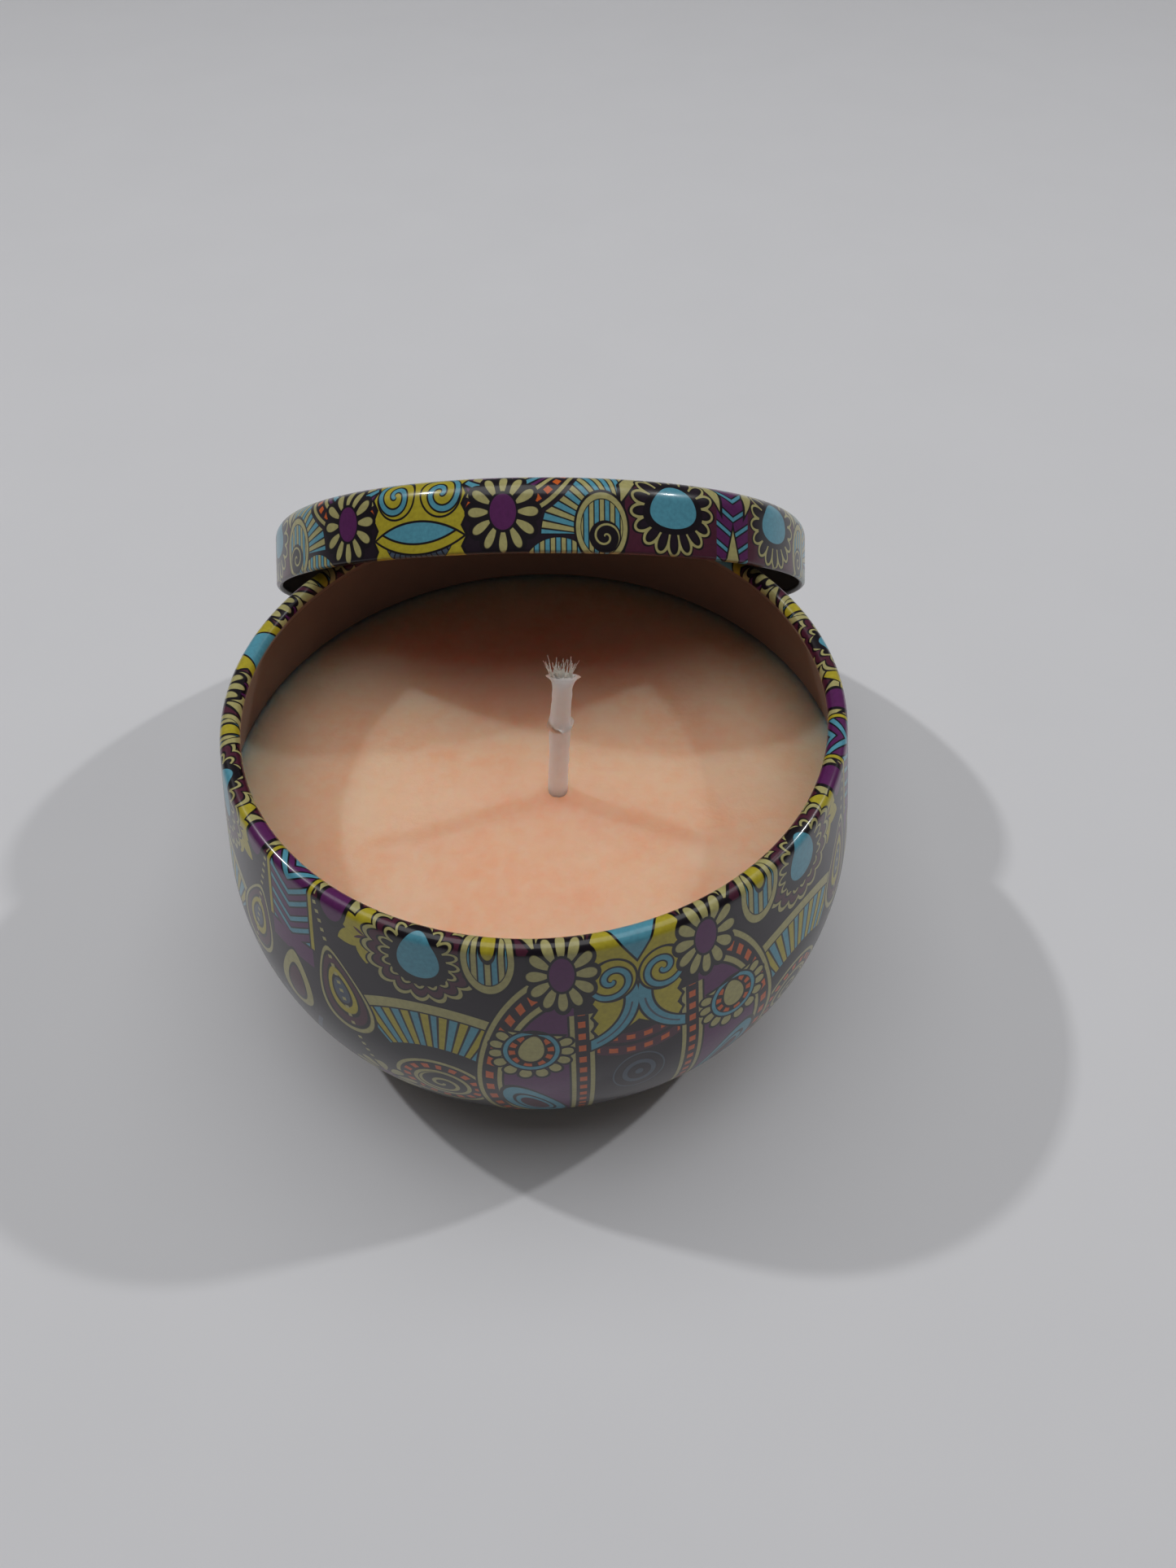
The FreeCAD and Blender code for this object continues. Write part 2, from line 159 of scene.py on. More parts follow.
def tone(red, green, blue):
    """A colour from its 0 to 255 screen values."""
    steps = [value / 255 for value in (red, green, blue)]
    return tuple(s / 12.92 if s <= 0.04045 else ((s + 0.055) / 1.055) ** 2.4 for s in steps)


class Field:
    """A number worked out at each point of a surface; arithmetic on it adds maths nodes."""

    def __init__(self, socket):
        self.socket = socket
        self.tree = socket.id_data

    def math(self, operation, *others, clamp=False):
        node = self.tree.nodes.new("ShaderNodeMath")
        node.operation = operation
        node.use_clamp = clamp
        for entry, value in zip(node.inputs, (self, *others)):
            if isinstance(value, Field):
                self.tree.links.new(value.socket, entry)
            else:
                entry.default_value = value
        return Field(node.outputs[0])

    def __add__(self, other):
        return self.math("ADD", other)

    def __sub__(self, other):
        return self.math("SUBTRACT", other)

    def __mul__(self, other):
        return self.math("MULTIPLY", other)

    def __truediv__(self, other):
        return self.math("DIVIDE", other)

    def __abs__(self):
        return self.math("ABSOLUTE")

    def fold(self, period):
        """Distance to the nearest whole number of periods."""
        return self.math("PINGPONG", period / 2)

    def inside(self, *others):
        """Where this shape and the others overlap."""
        shape = self
        for other in others:
            shape = shape.math("MAXIMUM", other)
        return shape


def new_material(name, **settings):
    """A material, its tree and its shader, with the settings on the shader's own sockets."""
    material = bpy.data.materials.new(name)
    material.use_nodes = True
    shader = material.node_tree.nodes["Principled BSDF"]
    for key, value in settings.items():
        shader.inputs[key.replace("_", " ").title().replace("Ior", "IOR")].default_value = value
    return material, material.node_tree, shader


def grain(tree, size, detail=3.0, stretch=(1, 1, 1)):
    """Noise from 0 to 1 with lumps about size millimetres across."""
    place = tree.nodes.new("ShaderNodeTexCoord")
    scaled = tree.nodes.new("ShaderNodeVectorMath")
    scaled.operation = "MULTIPLY"
    scaled.inputs[1].default_value = [k / (size * MM) for k in stretch]
    tree.links.new(place.outputs["Object"], scaled.inputs[0])
    texture = tree.nodes.new("ShaderNodeTexNoise")
    texture.inputs["Scale"].default_value = 1.0
    texture.inputs["Detail"].default_value = detail
    tree.links.new(scaled.outputs[0], texture.inputs["Vector"])
    return Field(texture.outputs["Fac"])


def blend(factor, first, second):
    """A colour going from first to second as a field goes from 0 to 1."""
    mix = factor.tree.nodes.new("ShaderNodeMix")
    mix.data_type = "RGBA"
    factor.tree.links.new(factor.socket, mix.inputs[0])
    for entry, colour in ((mix.inputs[6], first), (mix.inputs[7], second)):
        if isinstance(colour, bpy.types.NodeSocket):
            factor.tree.links.new(colour, entry)
        else:
            entry.default_value = (*colour, 1)
    return mix.outputs[2]


def rough_up(shader, height, depth):
    """Bumps depth millimetres high, from a field of 0 to 1."""
    tree = height.tree
    bump = tree.nodes.new("ShaderNodeBump")
    bump.inputs["Distance"].default_value = depth * MM
    tree.links.new(height.socket, bump.inputs["Height"])
    tree.links.new(bump.outputs["Normal"], shader.inputs["Normal"])


# ================================================================ the print

INKS = {
    "night": tone(34, 20, 34),
    "black": tone(22, 13, 22),
    "purple": tone(98, 36, 96),
    "maroon": tone(84, 34, 54),
    "khaki": tone(186, 180, 118),
    "mustard": tone(192, 178, 48),
    "blue": tone(92, 166, 186),
    "slate": tone(78, 92, 108),
    "orange": tone(222, 104, 36),
}
SOFT = 0.07
LINE = 0.28


def far(x, v):
    """Distance from the origin."""
    return v.math("MULTIPLY_ADD", v, x * x).math("SQRT")


def oval(x, v, wide, tall):
    """An oval round the origin, wide and tall being its half sizes."""
    size = min(wide, tall)
    return far(x * (size / wide), v * (size / tall)) - size


def tear(x, v, wide, tall, taper):
    """A drop round the origin, narrower towards smaller v."""
    return far(x / (v * taper + 1), v * (wide / tall)) - wide


def turned(x, v, degrees):
    """The same point in a frame turned about the origin."""
    turn = math.radians(degrees)
    across = x.math("MULTIPLY_ADD", math.cos(turn), v * math.sin(turn))
    along = v.math("MULTIPLY_ADD", math.cos(turn), x * -math.sin(turn))
    return across, along


class Print:
    """Flat inks laid over one another; a shape is a distance in millimetres, negative inside it."""

    def __init__(self, tree, ground):
        node = tree.nodes.new("ShaderNodeRGB")
        node.outputs[0].default_value = (*INKS[ground], 1)
        self.colour = node.outputs[0]

    def ink(self, shape, colour, grow=0.0):
        mask = shape.math("MULTIPLY_ADD", -1 / SOFT, 0.5 + grow / SOFT, clamp=True)
        self.colour = blend(mask, self.colour, INKS[colour])

    def outlined(self, shape, colour, line=LINE):
        self.ink(shape, "black", line)
        self.ink(shape, colour)

    def beaded_band(self, middle, along, half, pitch, keep=None):
        """A dark band edged in khaki with orange beads: middle is the distance from its centre line."""
        away = abs(middle)
        area = away.inside(keep) if keep else away
        for width, colour in ((half + 0.75, "black"), (half + 0.5, "khaki"), (half, "night")):
            self.ink(away.inside(keep + width) if keep else away, colour, width)
        beads = (along.fold(pitch) - pitch * 0.25).inside(away - half * 0.5)
        self.ink(beads.inside(keep) if keep else beads, "orange")

    def daisy(self, x, v, petals, inner, outer, eye, backing, fullness=0.72):
        """Petals round an oval eye on a dark scalloped backing."""
        radius = far(x, v)
        spoke = x.math("ARCTAN2", v).fold(TURN / petals)
        half = (outer - inner) / 2
        width = fullness * math.pi / petals
        self.ink(radius + spoke * spoke * 11.0, "black", outer + backing)
        petal = far(radius * (1 / half) - (outer / half - 1), spoke * (1 / width)) - 1
        self.ink(petal * (width * (inner + half)), "khaki")
        self.outlined(oval(x, v, *eye), "purple")

    def scroll(self, x, v, size, pitch, turns_to, colour, lines="black"):
        """A spiral arm winding out to a radius."""
        radius = far(x, v)
        arm = (radius * (1 / pitch) - x.math("ARCTAN2", v) * (1 / TURN) + turns_to).fold(1)
        disc = radius - size
        self.ink((arm * -pitch + pitch * 0.22).inside(disc), lines)
        self.ink((arm * -pitch + pitch * 0.22 + LINE * 0.8).inside(disc), colour)

    def stripes(self, area, across, pitch, first, second):
        """An area of thin alternate stripes with dark lines between them."""
        self.ink(area, "black")
        beat = across.fold(pitch)
        self.ink((beat - pitch * 0.19).inside(area + 0.1), first)
        self.ink((beat * -1 + pitch * 0.31).inside(area + 0.1), second)

    def fringed_drop(self, x, v, wide, tall, reach, petal_colour, halo=0.0):
        """A blue drop over a scalloped fringe of petals."""
        count = 17
        low = v - tall * 0.1
        radius = far(x, low)
        spoke = x.math("ARCTAN2", low).fold(TURN / count)
        scallop = radius + spoke * spoke * 26.0
        if halo:
            hem = ((0.85, "black"), (0.55, "khaki"), (0.0, "black"), (-0.3, "maroon"))
            for width, colour in hem:
                self.ink(scallop, colour, reach + halo + width)
        self.ink(scallop, "black", reach + 0.8)
        self.ink(scallop, "khaki", reach + 0.5)
        half = (reach - wide) * 0.5 + 0.5
        petal = far(radius * (1 / half) - (reach / half - 1), spoke * (count / math.pi / 0.74)) - 1
        self.ink(petal, "black", 0.1)
        self.ink(petal, petal_colour, -0.22)
        self.ink(tear(x, v, wide, tall, 0.09), "black", 0.9)
        self.outlined(tear(x, v, wide, tall, 0.09), "blue")


def bowl_print(paint, x, v):
    """Half of one repeat on the bowl: x is from the scrolls' axis, v down from the roll's inner edge."""
    side = x * -1 + HALF_REPEAT
    # slanting stripes over the roll, seen between the motifs
    paint.stripes(v - 3.3, x * 0.8 + v * 0.7, 3.4, "khaki", "maroon")
    # beads under the mustard panel
    low = far(x, v - 10.0)
    for ring in (8.6, 10.8):
        paint.ink(abs(low - ring).inside(x - 4.7), "maroon", 0.8)
        paint.ink(abs(low - ring).inside((x - 1.0).fold(2.0) - 0.1, x - 4.4), "orange", 0.4)
    bud = oval(x, v - 26.2, 3.2, 4.4)
    paint.stripes(bud, bud, 1.5, "slate", "night")
    # fan of stripes, the band above it and the wheel below
    wing_x, wing_v = x - 22.6, v - 29.5
    reach = far(wing_x, wing_v)
    sweep_round = wing_x.math("ARCTAN2", wing_v)
    sector = abs(wing_x) + wing_v * 0.75
    fringe = sweep_round.fold(TURN / 40)
    paint.ink((reach + fringe * fringe * 90.0).inside(sector), "black", 16.4)
    paint.stripes((abs(reach - 12.2) - 3.0).inside(sector), sweep_round * 13.0, 2.1, "mustard", "blue")
    paint.ink(abs(reach - 16.0).inside(sector + 0.2), "black", 1.0)
    paint.ink(abs(reach - 16.0).inside(sector + 0.2), "khaki", 0.75)
    wheel_x, wheel_v = x - 22.6, v - 28.6
    wheel = far(wheel_x, wheel_v)
    paint.ink(wheel, "black", 5.9)
    paint.beaded_band(wheel - 4.3, wheel_x.math("ARCTAN2", wheel_v) * 4.3, 0.85, 1.7)
    paint.scroll(wheel_x, wheel_v, 2.8, 1.7, 0.2, "khaki")
    # purple field under an arch of beads
    arch_x, arch_v = x - 7.0, (v - 26.0) * 0.54
    arch = far(arch_x, arch_v) - 9.8
    paint.ink(arch.inside(x * -1 + 7.2), "purple")
    paint.beaded_band(arch, arch_x.math("ARCTAN2", arch_v * -1) * 13.0, 0.85, 2.1, x * -1 + 6.4)
    paint.beaded_band(x - 6.4, v, 0.8, 2.1, v * -1 + 13.0)
    # leaves and a daisy that close the field towards the foot
    leaf_x, leaf_v = turned(x - 12.0, v - 32.5, 24)
    leaf = oval(leaf_x, leaf_v, 2.6, 6.4)
    paint.outlined(leaf, "blue")
    paint.ink(abs(leaf + 0.9), "black", 0.14)
    paint.ink(leaf, "maroon", -1.4)
    paint.daisy(x - 30.5, v - 33.0, 10, 1.4, 4.4, (1.2, 1.4), 0.6)
    # nested leaves between the drop and the far axis
    blade_x, blade_v = turned(side - 7.6, v - 16.5, -14)
    for grow, colour in ((1.2, "khaki"), (0.6, "maroon"), (-0.3, "mustard"), (-1.1, "slate")):
        paint.outlined(tear(blade_x, blade_v, 2.1, 4.3, 0.07) - grow, colour)
    paint.ink((abs(blade_v).fold(1.3) - 0.25).inside(abs(blade_x) - 0.25), "khaki")
    # column on the far axis
    chevrons = abs((v + side * 0.75).fold(4.4) - 1.2)
    paint.ink(side.inside(v - 12.0), "purple", 3.6)
    paint.ink(chevrons.inside(side - 3.6, v - 12.0), "black", 0.62)
    paint.ink(chevrons.inside(side - 3.4, v - 11.8), "blue", 0.36)
    paint.ink(abs(side - 3.7).inside(v - 12.0), "black", 0.5)
    paint.ink(abs(side - 3.7).inside(v - 12.0), "mustard", 0.25)
    paint.outlined(tear(side, v - 20.6, 2.5, 5.0, 0.08), "khaki")
    paint.outlined(tear(side, v - 21.3, 1.3, 2.8, 0.08), "maroon")
    paint.ink(abs(side + (v - 31.0) * 0.35 - 1.4).inside(abs(v - 31.0) - 5.0), "slate", 0.35)
    # star and purple petal by the roll
    star_x, star_v = x - 30.4, v - 5.0
    star = far(star_x, star_v) + star_x.math("ARCTAN2", star_v).fold(TURN / 6) * 3.4
    paint.outlined(star - 4.3, "mustard", 0.35)
    paint.ink(star, "maroon", 1.7)
    paint.outlined(oval(x - 34.9, v - 2.2, 1.7, 2.9), "purple", 0.5)
    # hanging drop
    paint.fringed_drop(x - 24.0, v - 5.2, 2.35, 3.3, 4.3, "night", 2.0)
    # striped loop
    loop = oval(x - 16.2, v - 4.0, 2.9, 5.2)
    paint.outlined(loop, "khaki")
    paint.stripes(loop + 0.65, x - 16.2, 1.5, "khaki", "blue")
    paint.outlined(oval(x - 16.2, v - 2.0, 0.8, 2.0), "mustard")
    # drop wrapped in a crook with petals
    drop_x, drop_v = turned(x - 11.9, v - 18.4, -10)
    radius = far(drop_x, (drop_v - 0.4) * 0.88)
    heading = drop_x.math("ARCTAN2", drop_v - 0.4)
    petal = far(radius * 1.25 - 4.75, heading.fold(TURN / 15) * 6.4) - 1
    below = drop_v * -1 - 2.6
    paint.ink(petal.inside(below), "black", 0.4)
    paint.ink((petal * 0.8).inside(below), "khaki")
    paint.ink(radius, "black", 3.3)
    paint.ink(radius.inside(below + 3.0), "blue", 3.05)
    paint.ink(radius, "black", 2.6)
    paint.ink((heading.fold(TURN / 10) * 2.1 - 0.36).inside(abs(radius - 2.12) - 0.34), "orange")
    paint.ink(tear(drop_x, drop_v, 1.3, 2.2, 0.1), "black", 0.3)
    paint.ink(tear(drop_x, drop_v, 1.3, 2.2, 0.1), "khaki", 0.05)
    # mustard panel with its pair of scrolls
    panel = (x + v.fold(2.3) * 0.5 - 5.1).inside(v - x * 0.75 - 15.6)
    paint.outlined(panel, "mustard", 0.4)
    arm = abs(far(x - 8.3, v - 11.6) - 7.6)
    paint.ink(arm.inside(x - 4.9, v * -1 + 9.6), "black", 1.05)
    paint.ink(arm.inside(x - 4.7, v * -1 + 9.4), "blue", 0.75)
    paint.ink(arm.inside(x - 4.7, v * -1 + 12.5), "slate", 0.12)
    curl_x, curl_v = x - 2.9, v - 8.3
    paint.ink(far(curl_x, curl_v * 0.85), "black", 2.95)
    paint.ink(far(curl_x, curl_v * 0.85), "mustard", 2.65)
    paint.scroll(curl_x, curl_v * 0.85, 2.75, 1.9, 0.3, "blue")
    paint.outlined((x * 1.25 + v * 0.75 - 4.3) * 0.7, "blue")
    # daisy over the edge of the panel
    for petal_x in (6.3, 10.3):
        paint.outlined(oval(x - petal_x, v - 0.9, 0.75, 1.9), "khaki")
    paint.outlined(oval(x - 8.3, v - 1.6, 1.2, 3.0), "purple")
    paint.daisy((x - 8.3) * 1.28, (v - 6.3) * 0.86, 12, 1.6, 4.9, (1.75, 2.2), 0.6)
    # rings towards the foot
    paint.ink(v * -1 + 43.0, "black")
    paint.ink(abs(v - 44.2), "khaki", 0.35)
    paint.ink((x.fold(HALF_REPEAT / 9) - 1.0).inside(abs(v - 46.6) - 0.8), "orange")
    paint.ink(abs(v - 49.0), "mustard", 0.35)


def lid_print(paint, x, v):
    """Half of one repeat on the lid: x is from the scrolls' axis, v up the skirt and on over the top."""
    side = x * -1 + HALF_REPEAT
    # fan
    wing_x, wing_v = x - 25.6, v - 2.0
    fan = abs(far(wing_x, wing_v) - 7.6) - 2.6
    paint.stripes(fan.inside(wing_v * -1 + 0.5), wing_x.math("ARCTAN2", wing_v) * 7.0, 1.4, "khaki", "blue")
    # arches of beads round a purple field
    arch = far(x - 10.2, v - 14.5)
    paint.ink(arch, "night", 10.9)
    paint.ink(arch, "purple", 8.0)
    paint.beaded_band(arch - 9.0, (x - 10.2).math("ARCTAN2", v * -1 + 14.5) * 9.0, 0.8, 1.7)
    paint.ink(abs(arch - 6.4), "black", 0.65)
    paint.ink(abs(arch - 6.4), "blue", 0.35)
    paint.ink((x.fold(1.9) - 0.6).inside(abs(arch - 5.2) - 0.5), "khaki")
    # stripes by the hem
    paint.stripes(far(x - 17.6, v + 2.4) - 4.6, x, 1.3, "khaki", "blue")
    # column on the far axis
    chevrons = abs((v * -1 + side * 0.55).fold(4.6) - 1.1)
    paint.ink(side.inside(v - 12.0), "purple", 4.4)
    paint.ink(chevrons.inside(side - 4.4, v - 12.0), "black", 0.5)
    paint.ink(chevrons.inside(side - 4.2, v - 11.8), "blue", 0.26)
    paint.outlined((side + v * 0.28 - 1.2) * 0.9, "khaki")
    # hanging drop in its frame
    frame_x = x - 32.4
    gable = abs(abs(frame_x) * 0.8 + v * 0.6 - 10.4)
    paint.ink((abs(frame_x) * 0.8 + v * 0.6 - 10.4).inside(abs(frame_x) - 6.6), "maroon")
    paint.ink(gable.inside(abs(frame_x) - 6.6), "black", 1.0)
    paint.ink(gable.inside(abs(frame_x) - 6.4), "khaki", 0.75)
    paint.fringed_drop(frame_x, v * -1 + 6.4, 3.2, 2.7, 5.5, "night")
    # spiral loop
    loop_x, loop_v = x - 22.9, v - 3.4
    loop = oval(loop_x, loop_v, 3.2, 4.3)
    paint.outlined(loop, "khaki")
    paint.stripes(loop + 0.55, loop_x, 1.3, "khaki", "blue")
    paint.ink(far(loop_x - 0.4, loop_v + 1.1), "black", 2.0)
    paint.scroll(loop_x - 0.4, loop_v + 1.1, 1.8, 1.25, 0.3, "khaki")
    # mustard panel with its pair of scrolls
    panel = (x + v.fold(2.6) * 0.5 - 6.3).inside(v - 14.2)
    paint.outlined(panel, "mustard", 0.4)
    shell = (far(x, v - 3.6) - 5.0).inside(v - 3.4)
    paint.stripes(shell, x.math("ARCTAN2", v * -1 + 7.0) * 7.0, 1.5, "slate", "slate")
    above = far(x, v + 6.0) - 10.5
    paint.outlined((far(x, v - 11.0) - 10.3).inside(above), "mustard")
    paint.outlined((far(x, v - 11.4) - 9.4).inside(above), "blue")
    curl_x, curl_v = x - 3.1, v - 8.0
    paint.ink(far(curl_x, curl_v * 0.9), "black", 2.8)
    paint.ink(far(curl_x, curl_v * 0.9), "mustard", 2.55)
    paint.scroll(curl_x, curl_v * -0.9, 2.65, 1.85, 0.55, "blue")
    # daisy over the edge of the panel
    paint.daisy((x - 10.9) * 1.18, v - 5.3, 12, 2.0, 5.0, (1.9, 2.2), 0.6, 0.58)


def lid_top_print(paint, x, v, rim):
    """Rings of petals and beads on the lid's top; rim is the v of the middle."""
    radius = v * -1 + rim
    around_top = x * (TURN / PRINT_ROUND)
    paint.ink(radius, "black", 37.6)
    for width, colour in ((36.9, "mustard"), (36.3, "night"), (32.9, "khaki"), (32.4, "purple")):
        paint.ink(radius, colour, width)
    pitch = TURN / 48
    paint.ink((around_top.fold(pitch) * 34.6 - 0.8).inside(abs(radius - 34.6) - 0.8), "orange")
    for middle, count, half, colour in (
        (27.4, 24, 3.6, "khaki"),
        (18.6, 24, 3.2, "blue"),
        (10.6, 12, 3.4, "mustard"),
    ):
        spoke = around_top.fold(TURN / count) * (count / math.pi / 0.74)
        petal = (far((radius - middle) * (1 / half), spoke) - 1) * 2.0
        paint.ink(radius, "black", middle + half + 0.7)
        paint.ink(petal, colour)
        paint.ink(petal, "maroon", -0.9)
    paint.outlined(radius - 6.2, "purple")
    paint.ink(radius - 1.9, "mustard")


def printed_tin(name, turn, paint_on):
    """Glossy lacquered print; turn is where its first scrolls sit, in degrees round the tin."""
    material, tree, shader = new_material(
        name, roughness=0.3, coat_weight=0.4, coat_roughness=0.12, specular_ior_level=0.32
    )
    chart = tree.nodes.new("ShaderNodeUVMap")
    chart.uv_map = "print"
    parts = tree.nodes.new("ShaderNodeSeparateXYZ")
    tree.links.new(chart.outputs["UV"], parts.inputs[0])
    across = Field(parts.outputs["X"]) - turn / 360 * PRINT_ROUND
    along = Field(parts.outputs["Y"])
    paint = Print(tree, "night")
    paint_on(paint, across.fold(2 * HALF_REPEAT), along)
    worn = blend(grain(tree, 0.5), tone(205, 200, 205), tone(255, 255, 255))
    shade = tree.nodes.new("ShaderNodeMix")
    shade.data_type = "RGBA"
    shade.blend_type = "MULTIPLY"
    shade.inputs[0].default_value = 1.0
    tree.links.new(paint.colour, shade.inputs[6])
    tree.links.new(worn, shade.inputs[7])
    tree.links.new(shade.outputs[2], shader.inputs["Base Color"])
    rough_up(shader, grain(tree, 1.6, 2.0), 0.01)
    return material


def mottled(name, first, second, size, depth, **settings):
    """A material of two tones in soft lumps, with slight bumps."""
    material, tree, shader = new_material(name, **settings)
    lumps = grain(tree, size, 4.0)
    tree.links.new(blend(lumps, first, second), shader.inputs["Base Color"])
    rough_up(shader, grain(tree, size * 0.3, 4.0), depth)
    return material


# ================================================================ outlines of the turned sheets


def around(centre, radius, degrees):
    """The point of a circle at an angle."""
    turn = math.radians(degrees)
    return centre[0] + radius * math.cos(turn), centre[1] + radius * math.sin(turn)


def arc(centre, radius, first, last, step):
    """Points along an arc, about a step apart."""
    count = max(3, math.ceil(abs(math.radians(last - first)) * radius / step))
    return [around(centre, radius, first + (last - first) * i / count) for i in range(count + 1)]


def straight(start, end, step):
    """Points along a line, about a step apart."""
    count = max(1, math.ceil(math.dist(start, end) / step))
    spread = [i / count for i in range(count + 1)]
    return [(start[0] + (end[0] - start[0]) * t, start[1] + (end[1] - start[1]) * t) for t in spread]


def joined(*runs):
    """One list of points from several that meet end to end."""
    points = [runs[0][0]]
    for run in runs:
        points += [p for p in run if math.dist(p, points[-1]) > 1e-4]
    return points


def halve(miss, low, high):
    """Where a function crosses zero between two values."""
    for _ in range(60):
        middle = (low + high) / 2
        if miss(middle) * miss(low) > 0:
            low = middle
        else:
            high = middle
    return (low + high) / 2


BELLY_CENTRE = (BELLY_RADIUS - BELLY_ARC, BELLY_HEIGHT)
CURL_CENTRE = (RIM_RADIUS - CURL_RADIUS, BODY_HEIGHT - CURL_RADIUS)
FOOT_RUN = math.sqrt((BELLY_ARC - FOOT_ARC) ** 2 - (BELLY_HEIGHT - FOOT_ARC) ** 2)
FOOT_CENTRE = (BELLY_CENTRE[0] + FOOT_RUN, FOOT_ARC)
FOOT_ANGLE = -math.degrees(math.atan2(BELLY_HEIGHT - FOOT_ARC, FOOT_RUN))


def curl_miss(angle):
    """How far the wall arc that leaves the belly at an angle is from touching the curl."""
    return math.dist(CURL_CENTRE, around(BELLY_CENTRE, BELLY_ARC - WALL_ARC, angle)) + CURL_RADIUS - WALL_ARC


JOIN_ANGLE = halve(curl_miss, 0, 30)
WALL_CENTRE = around(BELLY_CENTRE, BELLY_ARC - WALL_ARC, JOIN_ANGLE)
RIM_ANGLE = math.degrees(math.atan2(CURL_CENTRE[1] - WALL_CENTRE[1], CURL_CENTRE[0] - WALL_CENTRE[0]))


def bowl_base(lift):
    """The base from the middle out, with its bead: lift is 0 underneath and 1 on the inside of the sheet."""
    up = lift * SHEET
    shift = up * (math.sqrt(2) - 1)
    corners = [
        (0, up),
        (BEAD_INNER - shift, up),
        (BEAD_INNER + BEAD_DEPTH - shift, up + BEAD_DEPTH),
        (BEAD_OUTER - BEAD_DEPTH + shift, up + BEAD_DEPTH),
        (BEAD_OUTER + shift, up),
        (FOOT_CENTRE[0], up),
    ]
    return joined(*(straight(a, b, 1.2) for a, b in zip(corners, corners[1:])))


def bowl_side(less):
    """Foot, belly and wall from the base up, inset from the outside by less."""
    return joined(
        arc(FOOT_CENTRE, FOOT_ARC - less, -90, FOOT_ANGLE, 0.4),
        arc(BELLY_CENTRE, BELLY_ARC - less, FOOT_ANGLE, JOIN_ANGLE, 0.7),
        arc(WALL_CENTRE, WALL_ARC - less, JOIN_ANGLE, RIM_ANGLE, 0.7),
    )


def wall_inside(height):
    """Inner radius of the upper wall at a height."""
    return WALL_CENTRE[0] + math.sqrt((WALL_ARC - SHEET) ** 2 - (height - WALL_CENTRE[1]) ** 2)


CORNER_CENTRE = (LID_RADIUS - LID_CORNER, LID_SKIRT - LID_CORNER)
HEM_CENTRE = (LID_RADIUS - HEM_RADIUS, HEM_RADIUS)
DOME_TOP = LID_SKIRT + LID_DOME


def dome_miss(radius):
    """How far a dome of a radius is from touching the lid's rounded corner."""
    return math.hypot(CORNER_CENTRE[0], CORNER_CENTRE[1] - DOME_TOP + radius) + LID_CORNER - radius


DOME_RADIUS = halve(dome_miss, 50, 5000)
DOME_CENTRE = (0, DOME_TOP - DOME_RADIUS)
DOME_ANGLE = math.degrees(math.atan2(CORNER_CENTRE[1] - DOME_CENTRE[1], CORNER_CENTRE[0]))


def lid_shell(less):
    """Skirt, corner and dome from the hem up to the middle, inset from the outside by less."""
    return joined(
        straight((LID_RADIUS - less, HEM_RADIUS), (LID_RADIUS - less, CORNER_CENTRE[1]), 0.8),
        arc(CORNER_CENTRE, LID_CORNER - less, 0, DOME_ANGLE, 0.25),
        arc(DOME_CENTRE, DOME_RADIUS - less, DOME_ANGLE, 90, 1.0),
    )


# ================================================================ meshes


def make_piece(name, vertices, faces, materials, slots=None):
    """An object from vertices in millimetres."""
    mesh = bpy.data.meshes.new(name)
    mesh.from_pydata([Vector(v) * MM for v in vertices], [], faces)
    for material in materials:
        mesh.materials.append(material)
    if slots:
        mesh.polygons.foreach_set("material_index", slots)
    mesh.polygons.foreach_set("use_smooth", [True] * len(faces))
    mesh.update()
    mesh.set_sharp_from_angle(angle=math.radians(50))
    piece = bpy.data.objects.new(name, mesh)
    bpy.context.scene.collection.objects.link(piece)
    return piece


def lathe(name, runs, materials, segments=SEGMENTS, zero=0.0, sense=1, place=None, shape=None):
    """Turns runs of (material slot, outline) about Z.

    Its map "print" holds the way round and the way along the outline from zero, in millimetres.
    shape(point) moves each point, and then place moves the finished piece.
    """
    outline, slot_of = [runs[0][1][0]], []
    for slot, points in runs:
        fresh = [p for p in points if math.dist(p, outline[-1]) > 1e-4]
        outline += fresh
        slot_of += [slot] * len(fresh)
    along = [0.0]
    for a, b in zip(outline, outline[1:]):
        along.append(along[-1] + math.dist(a, b))
    chart = [sense * (far_along - zero) for far_along in along]
    vertices, rings = [], []
    for radius, height in outline:
        count = segments if radius > 1e-6 else 1
        rings.append([len(vertices) + i % count for i in range(segments + 1)])
        for i in range(count):
            turn = TURN * i / segments
            vertices.append(Vector((radius * math.sin(turn), -radius * math.cos(turn), height)))
    faces, marks, slots = [], [], []
    for k, slot in enumerate(slot_of):
        low, high = rings[k], rings[k + 1]
        for i in range(segments):
            left, right = (PRINT_ROUND * j / segments for j in (i, i + 1))
            corners = [
                (low[i], left, k),
                (low[i + 1], right, k),
                (high[i + 1], right, k + 1),
                (high[i], left, k + 1),
            ]
            if low[i] == low[i + 1]:
                corners.pop(0)
            if high[i] == high[i + 1]:
                corners.pop()
            faces.append([vertex for vertex, _, _ in corners])
            marks += [(width, chart[level]) for _, width, level in corners]
            slots.append(slot)
    if shape:
        vertices = [shape(v) for v in vertices]
    if place:
        vertices = [place @ v for v in vertices]
    piece = make_piece(name, vertices, faces, materials, slots)
    layer = piece.data.uv_layers.new(name="print")
    layer.data.foreach_set("uv", [value for mark in marks for value in mark])
    return piece


def length(points):
    """Length of a run of points."""
    return sum(math.dist(a, b) for a, b in zip(points, points[1:]))


def stand_in_for(piece, body, node):
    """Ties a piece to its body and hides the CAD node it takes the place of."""
    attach(piece, body)
    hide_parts(node)


# ================================================================ bowl

